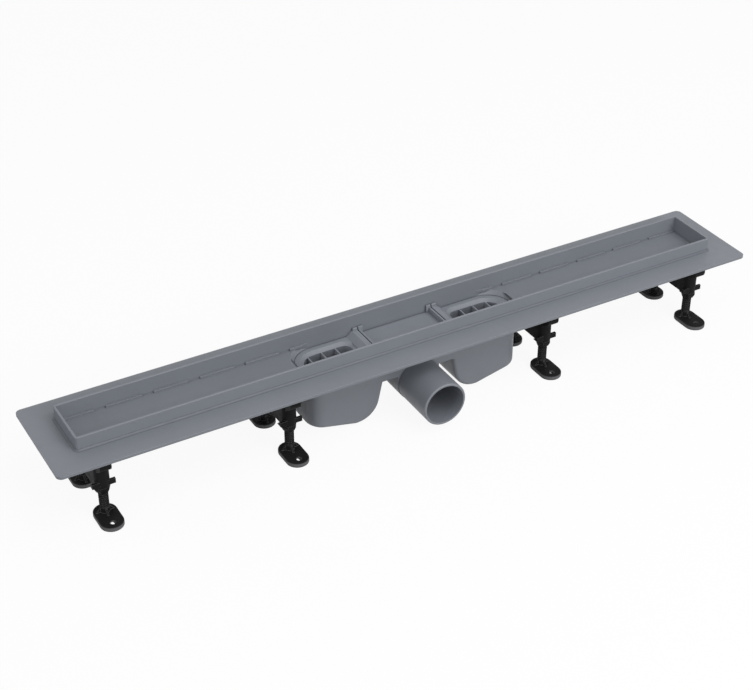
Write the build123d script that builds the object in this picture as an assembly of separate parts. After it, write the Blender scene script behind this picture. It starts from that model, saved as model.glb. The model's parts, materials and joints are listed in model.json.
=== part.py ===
"""Linear shower drain: a moulded channel with two trap bowls, lift-out trap inserts and levelling legs.

Millimetres. X runs along the channel, Y across it (the outlet points to -Y) and Z up. The origin lies on
the floor under the middle of the channel. Heights are stated as depths below the flange's upper face.
"""
import os
from math import cos, pi, radians, tan

from build123d import *

# Flange, rim and channel
FLANGE_LENGTH = 826.0
FLANGE_WIDTH = 122.0
FLANGE_THICK = 3.0
FLANGE_CORNER = 6.0
FLANGE_MARGIN = 30.0
FLOOR_CLEARANCE = 2.0
RIM_HEIGHT = 15.5
RIM_CORNER = 3.0
RIM_FILLET = 3.0
EDGE_ROUND = 0.6
WALL = 2.5
FLOOR_DEPTH_END = 3.5
FLOOR_DEPTH_TRAP = 4.5
STEP_WIDTH = 2.0
STEP_DEPTH = 1.8

# Notches that break the step at the foot of the long walls
NOTCH_PITCH = 51.1
NOTCH_LENGTH = 12.6
NOTCH_START = 0.8

# Trap pocket, with the ledge that carries the inserts and the cover
TRAP_CENTRE = 103.2
LEDGE_WIDTH = 6.0
LEDGE_END = 5.2
LEDGE_THICK = 2.5
CROSSBAR_WIDTH = 8.0
LIP_WIDTH = 4.0
LIP_HEIGHT = 4.0

# Trap bowls
BOWL_DEPTH = 84.5
BOWL_NECK = 42.5
BOWL_DRAFT = 12.0
BOWL_LEVEL = 1.2
BOWL_RISE = 12.5
BOWL_CORNER = 26.5
BOWL_BLEND = 12.0
BOWL_END_FLAT = 9.0
BOWL_EDGE = 4.0

# Centre housing and outlet spigot
HOUSING_DEPTH = 40.2
TROUGH_WALL = 3.0
SPIGOT_RADIUS = 25.0
SPIGOT_WALL = 2.5
SPIGOT_DEPTH = 51.4
SPIGOT_REACH = 79.3
SPIGOT_BEVEL = 0.8

# Lift-out trap inserts and centre cover
LID_DEPTH = 9.0
LID_THICK = 2.5
LID_GAP = 0.5
LID_JOINT = 1.2
COVER_HALF = 45.0
RIDGE_HEIGHT = 6.0
RIDGE_TOP = 5.8
RIDGE_FOOT = 7.0
RIDGE_WALL = 2.0
TAB_HEIGHT = 9.0
TAB_WIDTH = 5.3
TAB_THICK = 2.0
SLOT_INSET = 15.8
SLOT_CORNER = 8.0
DISH_DEPTH = 3.0
DISH_WIDTH = 4.0
WATER_SEAL = 22.0
DIP_GAP = 2.2
DIP_WALL = 1.8
FIN_INSET = 15.5
FIN_PITCH = 16.5
FIN_COUNT = 3
FIN_THICK = 1.6
FIN_DEPTH = 10.0
SEAL_THICK = 1.5
SEAL_GAP = 0.2

# Legs: a bridge under the channel carries two screw feet, each with its adjusting nut
LEG_END_INSET = 21.3
LEG_TRAP_GAP = 26.3
LEG_INSET = 1.3
RUNNING_GAP = 0.3
STEM_RADIUS = 4.9
STEM_LENGTH = 59.0
BRIDGE_DEPTH = 48.7
BRIDGE_WALL = 1.5
BRIDGE_ROOF = 3.0
CORBEL_HALF = 6.2
CORBEL_DEPTH = 32.2
CORBEL_REACH = 17.5
CORBEL_NOSE_DEPTH = 20.3
CORBEL_NOSE = 7.0
LUG_REACH = 4.2
LUG_TOP = 2.8
LUG_FRONT = 6.8
LUG_BACK = 2.0
LUG_DEPTH = 46.5
LUG_HEIGHT = 5.5
NUT_FLATS = 15.0
NUT_HEX = 2.8
NUT_TAPER = 4.4
NUT_WALL = 0.5
NUT_NECK_WALL = 1.0
NUT_NECK_LENGTH = 4.0
PAD_LENGTH = 41.8
PAD_WIDTH = 24.5
PAD_THICK = 5.1
PAD_BEVEL = 1.2
PAD_HOLE_RADIUS = 2.9
PAD_HOLE_INSET = 8.6
GUSSET_REACH = 9.5
GUSSET_HEIGHT = 5.0
GUSSET_THICK = 1.8

# Slack when edges are picked by their place
PICK = 0.01


def below(depth):
    """Height above the floor of a depth under the flange's upper face."""
    return flange_top - depth


flange_top = BOWL_DEPTH + FLOOR_CLEARANCE
rim_length = FLANGE_LENGTH - 2 * FLANGE_MARGIN
rim_width = FLANGE_WIDTH - 2 * FLANGE_MARGIN
rim_top = flange_top + RIM_HEIGHT
inner_length = rim_length - 2 * WALL
inner_half = rim_width / 2 - WALL
pocket_end = TRAP_CENTRE + inner_half
flange_low = below(FLANGE_THICK)
channel_low = below(FLOOR_DEPTH_TRAP + WALL)
lid_top = below(LID_DEPTH)
lid_low = lid_top - LID_THICK
lid_half = inner_half - LID_GAP
ridge_top = lid_top + RIDGE_HEIGHT
ledge = lid_low - SEAL_THICK
window_half = inner_half - LEDGE_WIDTH
bowl_half = window_half + WALL
bowl_low = below(BOWL_DEPTH)
bowl_end = pocket_end - LEDGE_END + WALL
housing_low = below(HOUSING_DEPTH)
spigot_axis = below(SPIGOT_DEPTH)
spigot_bore = SPIGOT_RADIUS - SPIGOT_WALL
insert_inner = COVER_HALF + LID_JOINT
crossbar_middle = COVER_HALF + LID_JOINT / 2
slot_top = lid_top - DISH_DEPTH
slot_inner = insert_inner + SLOT_INSET
slot_half = window_half - DIP_GAP - DIP_WALL
dip_low = housing_low + WALL - WATER_SEAL
leg_spread = rim_width / 2 - LEG_INSET
leg_stations = (LEG_END_INSET - rim_length / 2, -pocket_end - LEG_TRAP_GAP,
                pocket_end + LEG_TRAP_GAP, rim_length / 2 - LEG_END_INSET)
bore_radius = STEM_RADIUS + RUNNING_GAP
neck_radius = bore_radius + NUT_NECK_WALL
bridge_low = below(BRIDGE_DEPTH)
bridge_half = neck_radius + RUNNING_GAP + BRIDGE_WALL


def prism(outline, low, high):
    """An outline drawn in plan, raised between two heights."""
    return Pos(0, 0, low) * extrude(outline, high - low)


def block(x_range, y_range, z_range):
    """A plain block between pairs of coordinates."""
    ranges = (x_range, y_range, z_range)
    sizes = [high - low for low, high in ranges]
    middle = [(low + high) / 2 for low, high in ranges]
    return Pos(*middle) * Box(*sizes)


def end_outline(inner, centre, half):
    """The right-hand half of a long slot in plan: square at inner, round about centre."""
    square = Pos((inner + centre) / 2, 0) * Rectangle(centre - inner, 2 * half)
    return square + Pos(centre, 0) * Circle(half)


def both_sides(piece):
    """A right-hand feature and its mirror image at the left."""
    return piece + mirror(piece, about=Plane.YZ)


def side_profile(points):
    """A closed outline in the upright plane along the channel."""
    return make_face(Plane.XZ * Polyline(*points, close=True))


def edges_at(solid, height):
    """The edges of a solid that lie flat at one height."""
    return solid.edges().filter_by_position(Axis.Z, height - PICK, height + PICK)


def tray():
    """Flange, rim and channel, with the rim's foot blended into the flange."""
    flange = prism(RectangleRounded(FLANGE_LENGTH, FLANGE_WIDTH, FLANGE_CORNER), flange_low, flange_top)
    channel = prism(RectangleRounded(rim_length, rim_width, RIM_CORNER), channel_low, rim_top)
    solid = flange + channel
    foot = edges_at(solid, flange_top)
    for axis, size in ((Axis.X, rim_length), (Axis.Y, rim_width)):
        foot = foot.filter_by_position(axis, -size / 2 - PICK, size / 2 + PICK)
    return fillet(foot, RIM_FILLET)


def channel_hollow():
    """Inside of the channel: a notched step along the long walls, and a floor that falls towards the trap."""
    step = below(STEP_DEPTH)
    plan = prism(RectangleRounded(inner_length, 2 * inner_half, RIM_CORNER - WALL), step, rim_top)
    plan += prism(Rectangle(inner_length, 2 * (inner_half - STEP_WIDTH)), channel_low, step)
    notch = prism(Rectangle(NOTCH_LENGTH, 2 * inner_half), channel_low, step)
    end = inner_length / 2
    first = pocket_end + NOTCH_START
    count = 1 + int((end - NOTCH_LENGTH / 2 - first) // NOTCH_PITCH)
    stations = [first + NOTCH_PITCH * index for index in range(count)]
    plan += [Pos(side * x, 0, 0) * notch for x in stations for side in (-1, 1)]
    fall = side_profile([(-end, below(FLOOR_DEPTH_END)), (-pocket_end, below(FLOOR_DEPTH_TRAP)),
                         (pocket_end, below(FLOOR_DEPTH_TRAP)), (end, below(FLOOR_DEPTH_END)),
                         (end, rim_top), (-end, rim_top)])
    return plan & extrude(fall, inner_half, both=True)


def pocket_hollow():
    """Sunken pocket over the bowls, with a coned lip at each round end."""
    pocket = prism(SlotCenterToCenter(2 * TRAP_CENTRE, 2 * inner_half), ledge, flange_top)
    lip_middle = below(FLOOR_DEPTH_TRAP) - LIP_HEIGHT / 2
    lip = Pos(TRAP_CENTRE, 0, lip_middle) * Cone(inner_half, inner_half + LIP_WIDTH, LIP_HEIGHT)
    between_walls = block((0, inner_length / 2), (-inner_half, inner_half), (ledge, rim_top))
    return pocket + both_sides(lip & between_walls)


def bowl_outline(inner, inset):
    """Plan of the right-hand bowl from inner to its round-cornered end, moved inwards by inset."""
    end, half = bowl_end - inset, bowl_half - inset
    outline = Pos((inner + end) / 2, 0) * Rectangle(end - inner, 2 * half)
    return fillet(outline.vertices().group_by(Axis.X)[-1], half - BOWL_END_FLAT)


def bowl(top, inset):
    """The right-hand bowl; inset shrinks it evenly, for the hollow inside."""
    bottom = bowl_low + inset
    draft, rise = radians(BOWL_DRAFT), radians(BOWL_RISE)
    neck = BOWL_NECK + inset / cos(draft)
    corner, blend = BOWL_CORNER - inset, BOWL_BLEND - inset
    flat_start = neck + (housing_low - bottom) * tan(draft)
    flat_end = flat_start + corner * tan((pi / 2 - draft) / 2) + BOWL_LEVEL + blend * tan(rise / 2)
    far = bowl_end + bowl_half
    side = side_profile([(neck - (top - housing_low) * tan(draft), top), (flat_start, bottom),
                         (flat_end, bottom), (far, bottom + (far - flat_end) * tan(rise)), (far, top)])
    for x, radius in ((flat_start, corner), (flat_end, blend)):
        side = fillet(side.vertices().sort_by_distance((x, 0, bottom))[0], radius)
    solid = prism(bowl_outline(0, inset), bottom, top) & extrude(side, bowl_half, both=True)
    low_edges = solid.edges().filter_by(Axis.Z, reverse=True)
    low_edges = low_edges.filter_by_position(Axis.Z, bottom - PICK, top - PICK)
    end_edge = low_edges.filter_by(Axis.Y).sort_by(Axis.X)[-1]
    return fillet([*low_edges.filter_by(Axis.Y, reverse=True), end_edge], BOWL_EDGE - inset)


def along_outlet(radius, front, back):
    """A round bar on the outlet's axis between two places across the channel."""
    return Pos(0, (front + back) / 2, spigot_axis) * Rot(90, 0, 0) * Cylinder(radius, back - front)


def centre_housing(inset, floor, radius):
    """Box between the bowls, with a round-bottomed trough of the given radius in its floor."""
    half = bowl_half - inset
    reach = BOWL_NECK + BOWL_EDGE + WALL - inset
    box = block((-reach, reach), (-half, half), (floor, ledge))
    trough = block((-radius, radius), (-half, half), (spigot_axis, floor + WALL))
    return box + trough + along_outlet(radius, -half, half)


def channel_body():
    """The one-piece moulding: tray, pocket, two bowls, centre housing and spigot."""
    pocket = prism(SlotCenterToCenter(2 * TRAP_CENTRE, rim_width), ledge - LEDGE_THICK, channel_low)
    outside = tray() + pocket + both_sides(bowl(ledge, 0))
    outside += centre_housing(0, housing_low, spigot_bore + TROUGH_WALL)
    outside += along_outlet(SPIGOT_RADIUS, -SPIGOT_REACH, 0)
    hollow = channel_hollow() + pocket_hollow() + both_sides(bowl(ledge + WALL, WALL))
    hollow += centre_housing(WALL, housing_low + WALL, spigot_bore)
    hollow += along_outlet(spigot_bore, -SPIGOT_REACH, 0)
    crossbar = block((crossbar_middle - CROSSBAR_WIDTH / 2, crossbar_middle + CROSSBAR_WIDTH / 2),
                     (-bowl_half, bowl_half), (ledge - LEDGE_THICK, ledge))
    body = outside - hollow + both_sides(crossbar)
    body = fillet(edges_at(body, rim_top), EDGE_ROUND)
    mouth = body.edges().filter_by_position(Axis.Y, -SPIGOT_REACH - PICK, -SPIGOT_REACH + PICK)
    return chamfer(mouth.sort_by(SortBy.RADIUS)[-1], SPIGOT_BEVEL)


def slot_outline(grow):
    """Plan of the insert's slotted opening, grown evenly outwards."""
    outline = end_outline(slot_inner - grow, TRAP_CENTRE, slot_half + grow)
    return fillet(outline.vertices().group_by(Axis.X)[0], SLOT_CORNER + grow)


def edge_tabs(inner, outer):
    """Two upright tabs at the ends of a lid's cross edge, one at each channel wall."""
    tab = block((inner, outer), (lid_half - TAB_THICK, lid_half), (lid_low, lid_top + TAB_HEIGHT))
    return tab + mirror(tab, about=Plane.XZ)


def trap_insert():
    """Right-hand insert: a lid with a dished, finned opening and a dip tube that hangs in the bowl."""
    lid = prism(end_outline(insert_inner, TRAP_CENTRE, lid_half), lid_low, lid_top)
    crest = insert_inner + RIDGE_TOP
    ridge = side_profile([(insert_inner, lid_low), (insert_inner, ridge_top), (crest, ridge_top),
                          (crest + RIDGE_FOOT, lid_top), (crest + RIDGE_FOOT - RIDGE_WALL, lid_top),
                          (crest - RIDGE_WALL / 2, ridge_top - RIDGE_WALL),
                          (insert_inner + RIDGE_WALL, ridge_top - RIDGE_WALL),
                          (insert_inner + RIDGE_WALL, lid_low)])
    tube = prism(slot_outline(DIP_WALL), dip_low, lid_top)
    rings = [Pos(0, 0, slot_top) * slot_outline(0), Pos(0, 0, lid_top) * slot_outline(DISH_WIDTH)]
    opening = loft(rings, ruled=True) + prism(slot_outline(0), dip_low, slot_top)
    fin = block((-FIN_THICK / 2, FIN_THICK / 2), (-inner_half, inner_half), (slot_top - FIN_DEPTH, slot_top))
    fins = [Pos(slot_inner + FIN_INSET + FIN_PITCH * index, 0, 0) * fin & tube for index in range(FIN_COUNT)]
    tabs = edge_tabs(insert_inner, insert_inner + TAB_WIDTH)
    return lid + tube - opening + fins + extrude(ridge, lid_half, both=True) + tabs


def centre_cover():
    """Flat lid over the centre housing, with a raised edge and two tabs at each end."""
    lid = block((-COVER_HALF, COVER_HALF), (-lid_half, lid_half), (lid_low, lid_top))
    edge = block((COVER_HALF - RIDGE_WALL, COVER_HALF), (-lid_half, lid_half), (lid_low, ridge_top))
    return lid + both_sides(edge + edge_tabs(COVER_HALF - TAB_WIDTH, COVER_HALF))


def trap_seal():
    """Flat gasket between the right-hand insert and its ledge."""
    window = crossbar_middle + CROSSBAR_WIDTH / 2
    ring = end_outline(insert_inner + SEAL_GAP, TRAP_CENTRE, lid_half - SEAL_GAP)
    return prism(ring - bowl_outline(window, WALL), ledge, lid_low)


def cover_seal():
    """Flat gasket between the centre cover and its ledge."""
    window = crossbar_middle - CROSSBAR_WIDTH / 2
    ring = Rectangle(2 * (COVER_HALF - SEAL_GAP), 2 * (lid_half - SEAL_GAP))
    return prism(ring - Rectangle(2 * window, 2 * window_half), ledge, lid_low)


def corbel():
    """Bracket at the front of a bridge: it runs out under the flange and ends in a rounded nose."""
    nose = leg_spread + CORBEL_REACH
    wall_line = rim_width / 2 + RUNNING_GAP
    outline = Polyline((leg_spread, below(CORBEL_DEPTH)), (nose, below(CORBEL_NOSE_DEPTH)),
                       (nose, flange_low), (wall_line, flange_low), (wall_line, channel_low),
                       (leg_spread, channel_low), close=True)
    face = make_face(Plane.YZ * outline)
    tip = face.vertices().sort_by_distance((0, nose, below(CORBEL_NOSE_DEPTH)))[0]
    return extrude(fillet(tip, CORBEL_NOSE), CORBEL_HALF, both=True)


def lugs():
    """A pair of lugs at the front of a bridge, upright in front and ramped behind."""
    low, front = below(LUG_DEPTH), leg_spread + LUG_FRONT
    top = low + LUG_HEIGHT
    outline = Polyline((leg_spread - LUG_BACK, low), (front, low), (front, top), (front - LUG_TOP, top),
                       close=True)
    return extrude(make_face(Plane.YZ * outline), bridge_half + LUG_REACH, both=True)


def leg_bridge():
    """Hollow beam across the underside of the channel, with a corbel and a pair of lugs at each end."""
    beam = prism(SlotCenterToCenter(2 * leg_spread, 2 * bridge_half, rotation=90), bridge_low, channel_low)
    roof = channel_low - BRIDGE_ROOF
    inside = bridge_half - BRIDGE_WALL
    hollow_end = leg_spread - bridge_half
    hollow = block((-inside, inside), (-hollow_end, hollow_end), (bridge_low, roof))
    bore = prism(Circle(bore_radius), bridge_low, roof)
    bore += prism(Circle(neck_radius + RUNNING_GAP), bridge_low, bridge_low + NUT_NECK_LENGTH + RUNNING_GAP)
    bore = Pos(0, leg_spread, 0) * bore
    ends = corbel() + lugs()
    return beam + ends + mirror(ends, about=Plane.XZ) - hollow - bore - mirror(bore, about=Plane.XZ)


def adjusting_nut():
    """Hexagon nut with a tapered nose below and a neck that turns in the bridge, at the leg's own axis."""
    hex_top = bridge_low - RUNNING_GAP
    hex_low = hex_top - NUT_HEX
    nose = hex_low - NUT_TAPER
    neck_top = bridge_low + NUT_NECK_LENGTH
    hexagon = RegularPolygon(NUT_FLATS / 2, 6, major_radius=False)
    nose_hexagon = RegularPolygon(bore_radius + NUT_WALL, 6, major_radius=False)
    nut = prism(hexagon, hex_low, hex_top) + prism(Circle(neck_radius), hex_top, neck_top)
    nut += loft([Pos(0, 0, nose) * nose_hexagon, Pos(0, 0, hex_low) * hexagon], ruled=True)
    return nut - prism(Circle(bore_radius), nose, neck_top)


def screw_foot():
    """Front foot at the leg's own axis: an oval pad with a screw hole, four gussets and the threaded stem."""
    heel = PAD_WIDTH / 2
    pad = Pos(0, heel - PAD_LENGTH / 2) * SlotOverall(PAD_LENGTH, PAD_WIDTH, rotation=90)
    foot = prism(pad, 0, PAD_THICK)
    foot = chamfer(foot.faces().sort_by(Axis.Z)[-1].edges(), PAD_BEVEL)
    foot -= Pos(0, heel - PAD_LENGTH + PAD_HOLE_INSET) * prism(Circle(PAD_HOLE_RADIUS), 0, PAD_THICK)
    foot += prism(Circle(STEM_RADIUS), PAD_THICK, PAD_THICK + STEM_LENGTH)
    gusset_top = PAD_THICK + GUSSET_HEIGHT
    gusset = side_profile([(0, PAD_THICK), (GUSSET_REACH, PAD_THICK),
                           (STEM_RADIUS, gusset_top), (0, gusset_top)])
    web = extrude(gusset, GUSSET_THICK / 2, both=True)
    return foot + [Rot(0, 0, angle) * web for angle in (0, 90, 180, 270)]


def pieces():
    """Every piece of the drain in its place, by node name."""
    insert, seal = trap_insert(), trap_seal()
    made = {
        "channel_body": channel_body(),
        "trap_insert_right": insert,
        "trap_insert_left": mirror(insert, about=Plane.YZ),
        "trap_seal_right": seal,
        "trap_seal_left": mirror(seal, about=Plane.YZ),
        "centre_cover": centre_cover(),
        "cover_seal": cover_seal(),
    }
    bridge, nut, foot = leg_bridge(), adjusting_nut(), screw_foot()
    for number, x in enumerate(leg_stations, start=1):
        made[f"leg_bridge_{number}"] = Pos(x, 0, 0) * bridge
        for place, side, turn in (("front", -1, 0), ("rear", 1, 180)):
            spot = Pos(x, side * leg_spread, 0) * Rot(0, 0, turn)
            made[f"adjusting_nut_{number}_{place}"] = spot * nut
            made[f"screw_foot_{number}_{place}"] = spot * foot
    return made


os.makedirs("parts", exist_ok=True)
for node, solid in pieces().items():
    export_step(solid, f"parts/{node}.step")
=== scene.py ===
"""Looks of the linear shower drain: its plastics, the threaded feet, the studio and the camera.

Metres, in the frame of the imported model: X along the channel, the outlet towards -Y, Z up, floor at z = 0.
"""
import json
import math

import bmesh
import bpy
from mathutils import Euler, Matrix, Vector


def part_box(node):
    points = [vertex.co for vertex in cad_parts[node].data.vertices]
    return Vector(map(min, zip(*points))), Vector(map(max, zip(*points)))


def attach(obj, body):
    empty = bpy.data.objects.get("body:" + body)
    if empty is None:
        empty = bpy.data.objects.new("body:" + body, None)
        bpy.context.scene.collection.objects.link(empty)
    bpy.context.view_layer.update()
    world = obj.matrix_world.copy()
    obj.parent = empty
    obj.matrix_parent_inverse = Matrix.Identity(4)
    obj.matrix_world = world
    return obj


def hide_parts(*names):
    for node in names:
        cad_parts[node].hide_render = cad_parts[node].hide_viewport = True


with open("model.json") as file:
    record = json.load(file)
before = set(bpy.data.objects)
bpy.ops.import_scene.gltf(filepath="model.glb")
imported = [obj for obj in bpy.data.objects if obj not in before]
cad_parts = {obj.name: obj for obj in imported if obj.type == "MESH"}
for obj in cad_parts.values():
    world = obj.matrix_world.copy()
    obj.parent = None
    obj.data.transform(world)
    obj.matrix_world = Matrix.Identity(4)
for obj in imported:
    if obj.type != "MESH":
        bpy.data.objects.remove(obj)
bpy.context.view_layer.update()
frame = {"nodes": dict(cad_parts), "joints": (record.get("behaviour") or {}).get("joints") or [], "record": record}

# Camera of the photograph: pixels, metres and degrees
IMAGE_WIDTH = 753
FOCAL_PIXELS = 1584.4
SENSOR_WIDTH = 36.0
CAMERA_PLACE = (-0.72865, -1.20709, 1.0079)
CAMERA_AZIMUTH = 29.793
CAMERA_DOWN = 33.812
CAMERA_ROLL = -0.126
CAMERA_CLIP = (0.01, 50.0)

# Colours, linear
BODY_GREY = (0.205, 0.219, 0.246)
# Painted shade for the slanted fillet at the foot of the rim, which the lamps light too brightly
RIM_FOOT_PAINTED_SHADE = (0.111, 0.121, 0.142)
INSERT_GREY = (0.25, 0.266, 0.3)
LEG_BLACK = (0.013, 0.013, 0.0135)
SEAL_BLACK = (0.02, 0.02, 0.021)
FLOOR_WHITE = (0.92, 0.92, 0.92)
FLOOR_BOUNCE = (0.28, 0.28, 0.28)

# Both plastics
PLASTIC_GRAIN_STRENGTH = 0.12

# Grey plastic: sizes in metres, shades as factors on the colour
GREY_FLOW_SIZE = 0.045
GREY_FLOW_SHADES = (0.98, 1.02)
GREY_EDGE_WIDTH = 0.0005
# Lightening of sharp grey edges: a painted edge highlight
GREY_EDGE_HIGHLIGHT = 1.5
# Darkening of inner corners from ambient occlusion: painted shade
CREASE_DEPTH = 0.003
CREASE_PAINTED_SHADE = 0.75
GREY_ROUGH_SIZE = 0.012
GREY_ROUGHNESS = (0.42, 0.55)
GREY_GRAIN_SIZE = 0.0007
GREY_GRAIN_DEPTH = 0.00035
# Height of the band of painted shade at the foot of the rim
RIM_FOOT_HEIGHT = 0.0031

# Black plastic
BLACK_FLOW_SIZE = 0.02
BLACK_FLOW_SHADES = (0.8, 1.3)
BLACK_EDGE_WIDTH = 0.0007
# Lightening of sharp black edges: a painted edge highlight
BLACK_EDGE_HIGHLIGHT = 8.0
# Lightening of the pads' upright rims: a painted highlight
PAD_RIM_HIGHLIGHT = 11.0
BLACK_ROUGH_SIZE = 0.008
BLACK_ROUGHNESS = (0.5, 0.65)
BLACK_SHINE = 0.06
BLACK_GRAIN_SIZE = 0.0005
BLACK_GRAIN_DEPTH = 0.00025

# Rubber
BLOOM_SIZE = 0.006
BLOOM_SHADES = (0.8, 2.0)
RUBBER_ROUGH_SIZE = 0.003
RUBBER_ROUGHNESS = (0.65, 0.85)
RUBBER_GRAIN_SIZE = 0.0004
RUBBER_GRAIN_DEPTH = 0.0001
RUBBER_GRAIN_STRENGTH = 0.2

# Masks: the range that noise mostly fills, and the values at which each mask is 0 and 1
NOISE_RANGE = (0.3, 0.7)
CREASE_RAMP = (1.0, 0.4)
CREASE_SAMPLES = 8
EDGE_RAMP = (0.995, 0.85)
EDGE_SAMPLES = 6
SLANT_RAMP = (0.0, 0.05)
UPRIGHT_RAMP = (0.9, 0.1)

# Studio, with the place, size and power of each lamp
SKY_LIGHT = 0.435
LAMPS = {
    "high_lamp": ((0.5, -1.2, 2.2), (2.2, 1.2), 21),
    "front_lamp": ((0.6, -2.2, 1.2), (1.6, 0.7), 26),
    "left_lamp": ((-4.2, -0.9, 1.6), (1.2, 1.2), 27),
}
FLOOR_REACH = 6.0
FLOOR_GLOW = 0.92
FLOOR_ROUGHNESS = 0.9
PAPER_GRAIN_SIZE = 0.002
PAPER_SHADE = 0.99

# Screw feet: metres, the angle in degrees
PAD_THICK = 0.0051
PAD_ROUND = 0.0013
PAD_FOOT_ROUND = 0.0006
PAD_ROUND_STEPS = 4
PAD_HOLE_RADIUS = 0.0029
PAD_HOLE_INSET = 0.0086
PAD_HOLE_SKIN = 0.0018
GROOVE_RADIUS = 0.0031
GROOVE_END_RADIUS = 0.0015
GROOVE_LENGTH = 0.009
POST_RADIUS = 0.0049
POST_TOP = 0.0115
POST_BEVEL = 0.0005
THREAD_PITCH = 0.0025
THREAD_CORE = 0.0038
THREAD_CREST = 0.0051
THREAD_FLANK_START = 2.2
THREAD_FLANK_SLOPE = 6.8
GUSSET_REACH = 0.0095
GUSSET_HEIGHT = 0.005
GUSSET_THICK = 0.0018
SMOOTH_ANGLE = 35


class Nodes:
    """A material's node tree, with short calls to add and link nodes."""

    def __init__(self, name):
        self.material = bpy.data.materials.new(name)
        self.material.use_nodes = True
        self.tree = self.material.node_tree
        self.shader = self.tree.nodes["Principled BSDF"]

    def add(self, kind, **values):
        """A new node with its settings."""
        node = self.tree.nodes.new(kind)
        for key, value in values.items():
            setattr(node, key, value)
        return node

    def link(self, start, end):
        """A wire from one socket to another."""
        self.tree.links.new(start, end)

    def noise(self, scale, detail=2.0, roughness=0.5):
        """Noise in the object's own coordinates; scale is the size of a blotch in metres."""
        place = self.add("ShaderNodeTexCoord")
        noise = self.add("ShaderNodeTexNoise")
        noise.inputs["Scale"].default_value = 1 / scale
        noise.inputs["Detail"].default_value = detail
        noise.inputs["Roughness"].default_value = roughness
        self.link(place.outputs["Object"], noise.inputs["Vector"])
        return noise.outputs["Fac"]

    def spread(self, value, low, high):
        """Maps noise to the range from low to high."""
        spread = self.add("ShaderNodeMapRange")
        for key, number in zip(("From Min", "From Max", "To Min", "To Max"), (*NOISE_RANGE, low, high)):
            spread.inputs[key].default_value = number
        self.link(value, spread.inputs["Value"])
        return spread.outputs["Result"]

    def mix(self, factor, first, second):
        """A colour mix; first is a colour or a socket, second a colour."""
        mix = self.add("ShaderNodeMix", data_type="RGBA")
        self.link(factor, mix.inputs["Factor"])
        if isinstance(first, bpy.types.NodeSocket):
            self.link(first, mix.inputs["A"])
        else:
            mix.inputs["A"].default_value = (*first, 1)
        mix.inputs["B"].default_value = (*second, 1)
        return mix.outputs["Result"]

    def ramp(self, value, start, end):
        """A mask that goes from 0 at start to 1 at end."""
        ramp = self.add("ShaderNodeMapRange")
        ramp.inputs["From Min"].default_value = start
        ramp.inputs["From Max"].default_value = end
        self.link(value, ramp.inputs["Value"])
        return ramp.outputs["Result"]

    def math(self, operation, first, second):
        """One step of arithmetic on sockets or numbers."""
        step = self.add("ShaderNodeMath", operation=operation)
        for slot, value in zip(step.inputs, (first, second)):
            if isinstance(value, bpy.types.NodeSocket):
                self.link(value, slot)
            else:
                slot.default_value = value
        return step.outputs["Value"]

    def upright(self, value):
        """The Z part of a vector."""
        split = self.add("ShaderNodeSeparateXYZ")
        self.link(value, split.inputs["Vector"])
        return split.outputs["Z"]

    def levelness(self):
        """1 on flat surfaces that face up or down, 0 on upright ones."""
        lift = self.upright(self.add("ShaderNodeNewGeometry").outputs["Normal"])
        return self.math("MULTIPLY", lift, lift)

    def shaded_creases(self, distance):
        """A mask of painted shade, from ambient occlusion, that rises to 1 in inner corners."""
        shelter = self.add("ShaderNodeAmbientOcclusion", samples=CREASE_SAMPLES)
        shelter.inputs["Distance"].default_value = distance
        return self.ramp(shelter.outputs["AO"], *CREASE_RAMP)

    def height(self):
        """The height in the object's own coordinates."""
        return self.upright(self.add("ShaderNodeTexCoord").outputs["Object"])

    def slanted_band(self, low, high):
        """A mask of the surfaces between two heights that are neither level nor upright."""
        level = self.levelness()
        slant = self.math("MULTIPLY", level, self.math("SUBTRACT", 1.0, level))
        above = self.math("GREATER_THAN", self.height(), low)
        below = self.math("LESS_THAN", self.height(), high)
        between = self.math("MULTIPLY", above, below)
        return self.math("MULTIPLY", self.ramp(slant, *SLANT_RAMP), between)

    def edges(self, radius):
        """A mask that is 1 on sharp edges, where a rounded normal leaves the true one, and that normal."""
        rounded = self.add("ShaderNodeBevel", samples=EDGE_SAMPLES)
        rounded.inputs["Radius"].default_value = radius
        flat = self.add("ShaderNodeNewGeometry")
        same = self.add("ShaderNodeVectorMath", operation="DOT_PRODUCT")
        self.link(rounded.outputs["Normal"], same.inputs[0])
        self.link(flat.outputs["Normal"], same.inputs[1])
        return self.ramp(same.outputs["Value"], *EDGE_RAMP), rounded.outputs["Normal"]

    def mottled(self, colour, size, shades):
        """The colour in two shades, in soft blotches."""
        dark, light = shades
        flow = self.spread(self.noise(size, detail=4.0), 0.0, 1.0)
        return self.mix(flow, shade(colour, dark), shade(colour, light))

    def roughness(self, blotches, limits):
        """Blotches of a rougher and a smoother surface."""
        self.link(self.spread(blotches, *limits), self.shader.inputs["Roughness"])

    def grain(self, size):
        """Fine noise for a moulded surface."""
        return self.noise(size, detail=3.0, roughness=0.6)

    def bump(self, height, strength, distance, normal=None):
        """A bump on the shader, on top of a normal where one is given."""
        bump = self.add("ShaderNodeBump")
        bump.inputs["Strength"].default_value = strength
        bump.inputs["Distance"].default_value = distance
        self.link(height, bump.inputs["Height"])
        if normal:
            self.link(normal, bump.inputs["Normal"])
        self.link(bump.outputs["Normal"], self.shader.inputs["Normal"])


def mount_height(name):
    """The height of a mount of the part."""
    return next(mount["pos_m"][2] for mount in frame["record"]["mounts"] if mount["name"] == name)


def shade(colour, factor):
    """A colour made lighter or darker."""
    return tuple(channel * factor for channel in colour)


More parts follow.
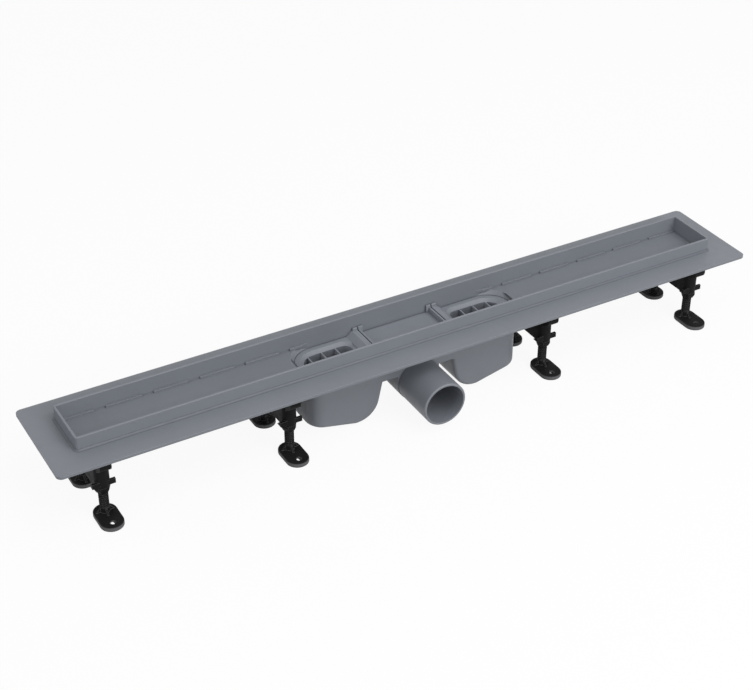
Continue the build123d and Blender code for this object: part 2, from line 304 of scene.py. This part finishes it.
def moulded_plastic(name, colour):
    """Satin plastic: grain, faint mottling, a painted highlight on sharp edges, and painted shade in inner corners
    and on the foot of the rim.
    """
    nodes = Nodes(name)
    mottled = nodes.mottled(colour, GREY_FLOW_SIZE, GREY_FLOW_SHADES)
    # Painted highlight: sharp edges are lightened in the colour
    edge_highlight, normal = nodes.edges(GREY_EDGE_WIDTH)
    highlit = nodes.mix(edge_highlight, mottled, shade(colour, GREY_EDGE_HIGHLIGHT))
    # Painted shade: inner corners are darkened in the colour
    crease_shaded = nodes.mix(nodes.shaded_creases(CREASE_DEPTH), highlit, shade(colour, CREASE_PAINTED_SHADE))
    flange_top = mount_height("flange_face")
    # Painted shade: the slanted fillet at the foot of the rim is darkened in the colour
    foot = nodes.slanted_band(flange_top, flange_top + RIM_FOOT_HEIGHT)
    nodes.link(nodes.mix(foot, crease_shaded, RIM_FOOT_PAINTED_SHADE), nodes.shader.inputs["Base Color"])
    nodes.roughness(nodes.noise(GREY_ROUGH_SIZE, detail=3.0), GREY_ROUGHNESS)
    nodes.bump(nodes.grain(GREY_GRAIN_SIZE), PLASTIC_GRAIN_STRENGTH, GREY_GRAIN_DEPTH, normal)
    return nodes.material


def leg_plastic(name, colour):
    """Dull black plastic: faint mottling, a painted highlight on sharp edges, and a painted highlight on the
    upright rims of the pads.
    """
    nodes = Nodes(name)
    mottled = nodes.mottled(colour, BLACK_FLOW_SIZE, BLACK_FLOW_SHADES)
    edge_highlight, normal = nodes.edges(BLACK_EDGE_WIDTH)
    highlit = nodes.mix(edge_highlight, mottled, shade(colour, BLACK_EDGE_HIGHLIGHT))
    # Painted highlight: the upright rims of the pads are lightened in the colour
    on_pad = nodes.ramp(nodes.height(), PAD_THICK, PAD_THICK - PAD_ROUND)
    rim = nodes.math("MULTIPLY", on_pad, nodes.ramp(nodes.levelness(), *UPRIGHT_RAMP))
    nodes.link(nodes.mix(rim, highlit, shade(colour, PAD_RIM_HIGHLIGHT)), nodes.shader.inputs["Base Color"])
    nodes.roughness(nodes.noise(BLACK_ROUGH_SIZE, detail=3.0), BLACK_ROUGHNESS)
    nodes.shader.inputs["Specular IOR Level"].default_value = BLACK_SHINE
    nodes.bump(nodes.grain(BLACK_GRAIN_SIZE), PLASTIC_GRAIN_STRENGTH, BLACK_GRAIN_DEPTH, normal)
    return nodes.material


def rubber(name, colour):
    """Soft gasket rubber: dull, with a dusty bloom."""
    nodes = Nodes(name)
    clean, dusty = BLOOM_SHADES
    bloom = nodes.noise(BLOOM_SIZE, detail=4.0)
    bloomed = nodes.mix(bloom, shade(colour, clean), shade(colour, dusty))
    nodes.link(bloomed, nodes.shader.inputs["Base Color"])
    nodes.roughness(nodes.noise(RUBBER_ROUGH_SIZE), RUBBER_ROUGHNESS)
    nodes.bump(nodes.noise(RUBBER_GRAIN_SIZE), RUBBER_GRAIN_STRENGTH, RUBBER_GRAIN_DEPTH)
    return nodes.material


def slot_outline(front, front_radius, back, back_radius, steps=16):
    """A long round-ended outline in plan, anticlockwise, between two centres on the Y axis."""
    turns = [math.pi * step / steps for step in range(steps + 1)]
    arc = [(math.cos(turn), math.sin(turn)) for turn in turns]
    back_end = [(back_radius * x, back + back_radius * y) for x, y in arc]
    front_end = [(-front_radius * x, front - front_radius * y) for x, y in arc]
    return back_end + front_end


def circle(radius, centre_y, steps=32):
    """A round hole in plan, anticlockwise."""
    turns = [2 * math.pi * step / steps for step in range(steps)]
    return [(radius * math.cos(turn), centre_y + radius * math.sin(turn)) for turn in turns]


def ring(mesh, outline, height):
    """The points of an outline at one height."""
    return [mesh.verts.new((x, y, height)) for x, y in outline]


def skin(mesh, lower, upper):
    """A band of faces between two rings of as many points."""
    count = len(lower)
    for index in range(count):
        after = (index + 1) % count
        mesh.faces.new((lower[index], lower[after], upper[after], upper[index]))


def cap(mesh, outer, hole):
    """A flat face between an outer ring and the ring of a hole."""
    loops = [(loop[i], loop[(i + 1) % len(loop)]) for loop in (outer, hole) for i in range(len(loop))]
    edges = [mesh.edges.get(pair) or mesh.edges.new(pair) for pair in loops]
    bmesh.ops.triangle_fill(mesh, use_beauty=True, use_dissolve=False, edges=edges)


def pad(mesh, half_width, toe):
    """The oval pad: rounded edges, and a screw hole with a groove under it."""
    quarter = [math.pi / 2 * step / PAD_ROUND_STEPS for step in range(PAD_ROUND_STEPS + 1)]
    rounds = [(PAD_FOOT_ROUND * (1 - math.sin(a)), PAD_FOOT_ROUND * (1 - math.cos(a))) for a in quarter]
    rounds += [(PAD_ROUND * (1 - math.cos(a)), PAD_THICK - PAD_ROUND * (1 - math.sin(a))) for a in quarter]
    rings = []
    for inset, height in rounds:
        radius = half_width - inset
        rings.append(ring(mesh, slot_outline(half_width - toe, radius, 0.0, radius), height))
    hole_y = PAD_HOLE_INSET - toe
    ceiling = PAD_THICK - PAD_HOLE_SKIN
    groove = slot_outline(hole_y, GROOVE_RADIUS, hole_y + GROOVE_LENGTH, GROOVE_END_RADIUS)
    grooves = [ring(mesh, groove, height) for height in (0.0, ceiling)]
    holes = [ring(mesh, circle(PAD_HOLE_RADIUS, hole_y), height) for height in (ceiling, PAD_THICK)]
    for lower, upper in [*zip(rings, rings[1:]), grooves, holes]:
        skin(mesh, lower, upper)
    cap(mesh, rings[0], grooves[0])
    cap(mesh, grooves[1], holes[0])
    cap(mesh, rings[-1], holes[1])


def turned(mesh, profile, steps=32):
    """A closed turned piece about Z; profile lists (radius, height) from the bottom up."""
    rings = [ring(mesh, circle(radius, 0.0, steps), height) for radius, height in profile]
    for lower, upper in zip(rings, rings[1:]):
        skin(mesh, lower, upper)
    mesh.faces.new(rings[0][::-1])
    mesh.faces.new(rings[-1])


def thread(mesh, low, high, steps=24, rows_per_turn=10):
    """A threaded stem: a tube whose radius follows a helix."""
    rows = round((high - low) / THREAD_PITCH * rows_per_turn)
    rings = []
    for row in range(rows + 1):
        height = low + (high - low) * row / rows
        points = []
        for step in range(steps):
            turn = step / steps
            phase = (height / THREAD_PITCH - turn) % 1.0
            flank = min(1.0, max(0.0, THREAD_FLANK_START - abs(phase - 0.5) * THREAD_FLANK_SLOPE))
            runout = min(1.0, (high - height) / THREAD_PITCH)
            radius = THREAD_CORE + (THREAD_CREST - THREAD_CORE) * flank * runout
            points.append((radius * math.cos(2 * math.pi * turn), radius * math.sin(2 * math.pi * turn)))
        rings.append(ring(mesh, points, height))
    for lower, upper in zip(rings, rings[1:]):
        skin(mesh, lower, upper)
    mesh.faces.new(rings[0][::-1])
    mesh.faces.new(rings[-1])


def gusset(mesh, angle):
    """A web between the post and the pad."""
    low, top = PAD_THICK / 2, PAD_THICK + GUSSET_HEIGHT
    profile = [(0.0, low), (GUSSET_REACH, low), (GUSSET_REACH, PAD_THICK), (POST_RADIUS, top), (0.0, top)]
    turn = Matrix.Rotation(angle, 3, "Z")
    sides = [[mesh.verts.new(turn @ Vector((x, y, z))) for x, z in profile]
             for y in (-GUSSET_THICK / 2, GUSSET_THICK / 2)]
    skin(mesh, *sides)
    mesh.faces.new(sides[0][::-1])
    mesh.faces.new(sides[1])


def threaded_foot(name, node, axis, facing, material):
    """A foot that stands for its solid: rounded pad, gussets, post and threaded stem."""
    low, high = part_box(node)
    half_width = (high.x - low.x) / 2
    mesh = bmesh.new()
    pad(mesh, half_width, high.y - low.y - half_width)
    for quarter in range(4):
        gusset(mesh, quarter * math.pi / 2)
    turned(mesh, [(POST_RADIUS, PAD_THICK / 2), (POST_RADIUS, POST_TOP - POST_BEVEL),
                  (POST_RADIUS - POST_BEVEL, POST_TOP)])
    thread(mesh, POST_TOP - POST_BEVEL, high.z)
    bmesh.ops.recalc_face_normals(mesh, faces=mesh.faces)
    mesh.transform(Matrix.Translation((axis[0], axis[1], 0)) @ Matrix.Rotation(facing, 4, "Z"))
    data = bpy.data.meshes.new(name)
    mesh.to_mesh(data)
    mesh.free()
    data.materials.append(material)
    data.shade_smooth()
    piece = bpy.data.objects.new(name, data)
    bpy.context.scene.collection.objects.link(piece)
    piece.modifiers.new("edges", "EDGE_SPLIT").split_angle = math.radians(SMOOTH_ANGLE)
    return piece


def dress_feet(material):
    """A threaded foot in place of each plain one, on the body of that foot."""
    places = {joint["child"]: joint["pos_m"] for joint in frame["joints"] if joint["type"] == "hinge"}
    for node in sorted(name for name in frame["nodes"] if name.startswith("screw_foot")):
        tag = node.removeprefix("screw_foot_")
        facing = math.pi if tag.endswith("rear") else 0.0
        piece = threaded_foot("threaded_foot_" + tag, node, places["nut_" + tag], facing, material)
        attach(piece, "foot_" + tag)
        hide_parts(node)


def dress_solids(materials):
    """Gives every solid the material of its slot."""
    slots = {part["node"]: part["material_slot"] for part in frame["record"]["subparts"]}
    for node, piece in frame["nodes"].items():
        piece.data.materials.clear()
        piece.data.materials.append(materials[slots[node]])


def camera():
    """The photograph's camera."""
    data = bpy.data.cameras.new("camera")
    data.sensor_width = SENSOR_WIDTH
    data.lens = FOCAL_PIXELS / IMAGE_WIDTH * SENSOR_WIDTH
    data.clip_start, data.clip_end = CAMERA_CLIP
    piece = bpy.data.objects.new("camera", data)
    bpy.context.scene.collection.objects.link(piece)
    azimuth, down = math.radians(CAMERA_AZIMUTH), math.radians(CAMERA_DOWN)
    level = math.cos(down)
    forward = Vector((math.sin(azimuth) * level, math.cos(azimuth) * level, -math.sin(down)))
    piece.rotation_mode = "QUATERNION"
    roll = Euler((0, 0, math.radians(-CAMERA_ROLL))).to_quaternion()
    piece.rotation_quaternion = forward.to_track_quat("-Z", "Y") @ roll
    piece.location = CAMERA_PLACE
    bpy.context.scene.camera = piece


def soft_box(name, place, size, power):
    """A large soft lamp aimed at the floor under the drain's middle."""
    data = bpy.data.lights.new(name, "AREA")
    data.shape = "RECTANGLE"
    data.size, data.size_y = size
    data.energy = power
    piece = bpy.data.objects.new(name, data)
    piece.location = place
    piece.rotation_euler = (-Vector(place)).to_track_quat("-Z", "Y").to_euler()
    bpy.context.scene.collection.objects.link(piece)


def shown_white(tree):
    """A socket that is 1 for what the camera sees, straight, mirrored or through glass, and 0 for light."""
    path = tree.nodes.new("ShaderNodeLightPath")
    shown = path.outputs["Is Camera Ray"]
    for way in ("Is Glossy Ray", "Is Transmission Ray"):
        either = tree.nodes.new("ShaderNodeMath")
        either.operation = "MAXIMUM"
        tree.links.new(shown, either.inputs[0])
        tree.links.new(path.outputs[way], either.inputs[1])
        shown = either.outputs["Value"]
    return shown


def surroundings():
    """A sky that lights softly and shows as plain white."""
    world = bpy.data.worlds.new("studio")
    bpy.context.scene.world = world
    world.use_nodes = True
    tree = world.node_tree
    background = tree.nodes["Background"]
    background.inputs["Color"].default_value = (1, 1, 1, 1)
    strength = tree.nodes.new("ShaderNodeMapRange")
    strength.inputs["To Min"].default_value = SKY_LIGHT
    strength.inputs["To Max"].default_value = 1.0
    tree.links.new(shown_white(tree), strength.inputs["Value"])
    tree.links.new(strength.outputs["Result"], background.inputs["Strength"])


def floor_material():
    """White paper that keeps a soft shadow and otherwise shows as white."""
    nodes = Nodes("floor_paper")
    shown = shown_white(nodes.tree)
    paper = nodes.mix(nodes.noise(PAPER_GRAIN_SIZE), shade(FLOOR_BOUNCE, PAPER_SHADE), FLOOR_BOUNCE)
    nodes.link(nodes.mix(shown, paper, FLOOR_WHITE), nodes.shader.inputs["Base Color"])
    nodes.shader.inputs["Roughness"].default_value = FLOOR_ROUGHNESS
    nodes.shader.inputs["Specular IOR Level"].default_value = 0.0
    glow = nodes.add("ShaderNodeEmission")
    glow.inputs["Strength"].default_value = 1.0
    both = nodes.add("ShaderNodeMixShader")
    nodes.link(nodes.math("MULTIPLY", shown, FLOOR_GLOW), both.inputs["Fac"])
    nodes.link(nodes.shader.outputs["BSDF"], both.inputs[1])
    nodes.link(glow.outputs["Emission"], both.inputs[2])
    nodes.link(both.outputs["Shader"], nodes.tree.nodes["Material Output"].inputs["Surface"])
    return nodes.material


def paper_floor():
    """A wide flat floor under the feet."""
    data = bpy.data.meshes.new("floor")
    corners = [(-1, -1), (1, -1), (1, 1), (-1, 1)]
    data.from_pydata([(x * FLOOR_REACH, y * FLOOR_REACH, 0) for x, y in corners], [], [(0, 1, 2, 3)])
    data.materials.append(floor_material())
    floor = bpy.data.objects.new("floor", data)
    bpy.context.scene.collection.objects.link(floor)


def studio():
    """White paper, white surroundings and soft lamps above, in front and on the left."""
    bpy.context.scene.view_settings.view_transform = "Standard"
    surroundings()
    paper_floor()
    for name, (place, size, power) in LAMPS.items():
        soft_box(name, place, size, power)


materials = {
    "body_plastic": moulded_plastic("body_plastic", BODY_GREY),
    "insert_plastic": moulded_plastic("insert_plastic", INSERT_GREY),
    "leg_plastic": leg_plastic("leg_plastic", LEG_BLACK),
    "seal_rubber": rubber("seal_rubber", SEAL_BLACK),
}
dress_solids(materials)
dress_feet(materials["leg_plastic"])
camera()
studio()
